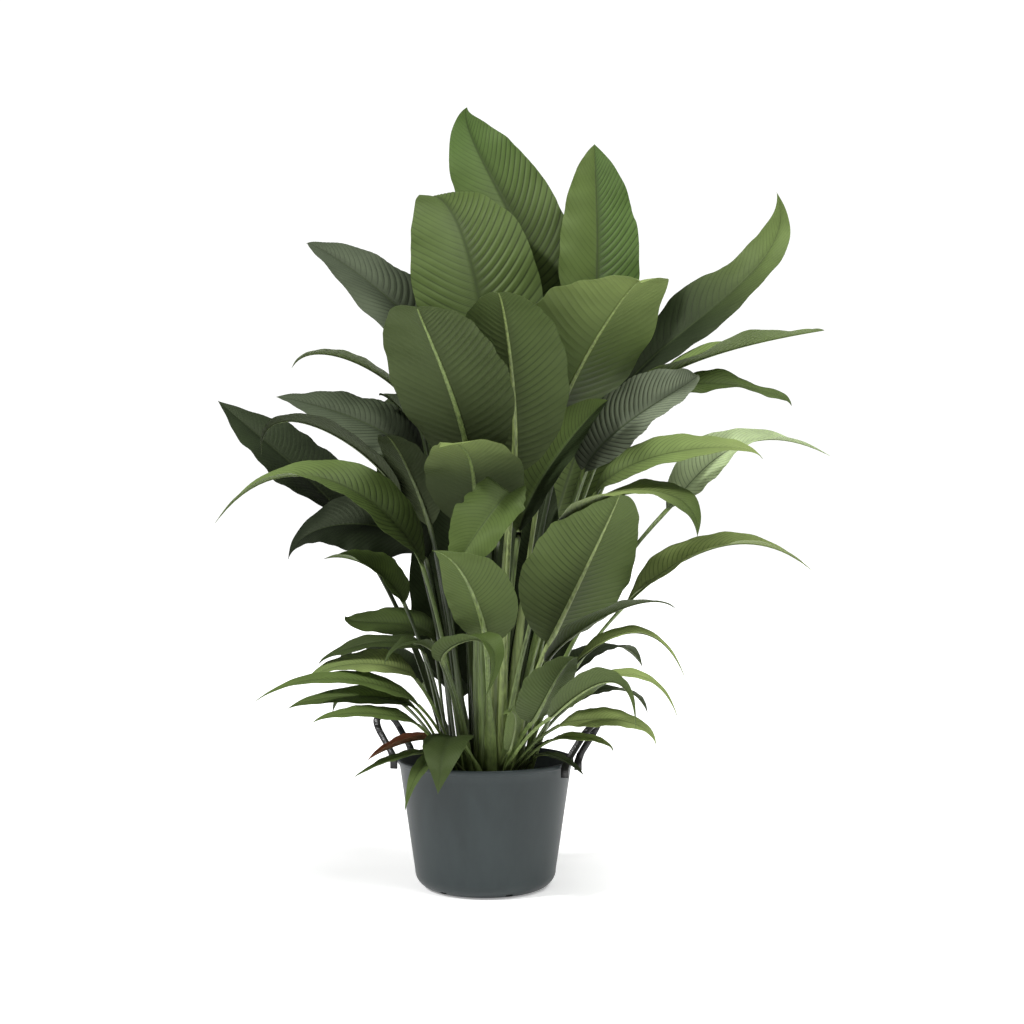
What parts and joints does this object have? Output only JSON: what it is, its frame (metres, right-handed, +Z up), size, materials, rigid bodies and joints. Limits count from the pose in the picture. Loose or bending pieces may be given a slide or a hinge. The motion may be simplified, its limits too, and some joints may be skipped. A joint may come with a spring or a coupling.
{
  "type": "potted peace lily",
  "caption": "Bushy potted peace lily: upright and arching long-stalked leaves growing from soil in a tapered plastic nursery pot with strap handles.",
  "frame": {"origin": "middle of the pot's flat base, on the floor", "axes": "+Z up, +X to the right and +Y to the back as the plant is seen from its front"},
  "size_m": [1.1464, 0.8104, 1.4757],
  "materials": {
    "pot_plastic": "satin",
    "strap_plastic": "matte",
    "potting_mix": "matte",
    "rhizome": "matte",
    "leaf_green": "satin",
    "leaf_dead": "matte"
  },
  "bodies": {
    "root": {"pot": "pot_plastic", "handle_left": "strap_plastic", "handle_right": "strap_plastic", "soil": "potting_mix", "crown": "rhizome", "leaf_01": "leaf_green", "leaf_02": "leaf_green", "leaf_03": "leaf_green", "leaf_04": "leaf_green", "leaf_05": "leaf_green", "leaf_06": "leaf_green", "leaf_07": "leaf_green", "leaf_08": "leaf_green", "leaf_09": "leaf_green", "leaf_10": "leaf_green", "leaf_11": "leaf_green", "leaf_12": "leaf_green", "leaf_13": "leaf_green", "leaf_14": "leaf_green", "leaf_15": "leaf_green", "leaf_16": "leaf_green", "leaf_17": "leaf_green", "leaf_18": "leaf_green", "leaf_19": "leaf_green", "leaf_20": "leaf_green", "leaf_21": "leaf_green", "leaf_22": "leaf_green", "leaf_23": "leaf_green", "leaf_24": "leaf_green", "leaf_25": "leaf_green", "leaf_26": "leaf_green", "leaf_27": "leaf_green", "leaf_28": "leaf_green", "leaf_29": "leaf_green", "leaf_30": "leaf_green", "leaf_31": "leaf_green", "leaf_32": "leaf_green", "leaf_33": "leaf_green", "leaf_34": "leaf_green", "leaf_35": "leaf_green", "leaf_36": "leaf_green", "leaf_37": "leaf_green", "leaf_38": "leaf_green", "leaf_39": "leaf_green", "leaf_40": "leaf_green", "leaf_41": "leaf_green", "leaf_42": "leaf_green", "leaf_43": "leaf_green", "leaf_44": "leaf_green", "leaf_45": "leaf_green", "leaf_46": "leaf_green", "leaf_47": "leaf_dead", "leaf_48": "leaf_green", "leaf_49": "leaf_green", "leaf_50": "leaf_green", "leaf_51": "leaf_green", "leaf_52": "leaf_green", "leaf_53": "leaf_green", "leaf_54": "leaf_green", "leaf_55": "leaf_green"}
  },
  "joints": []
}
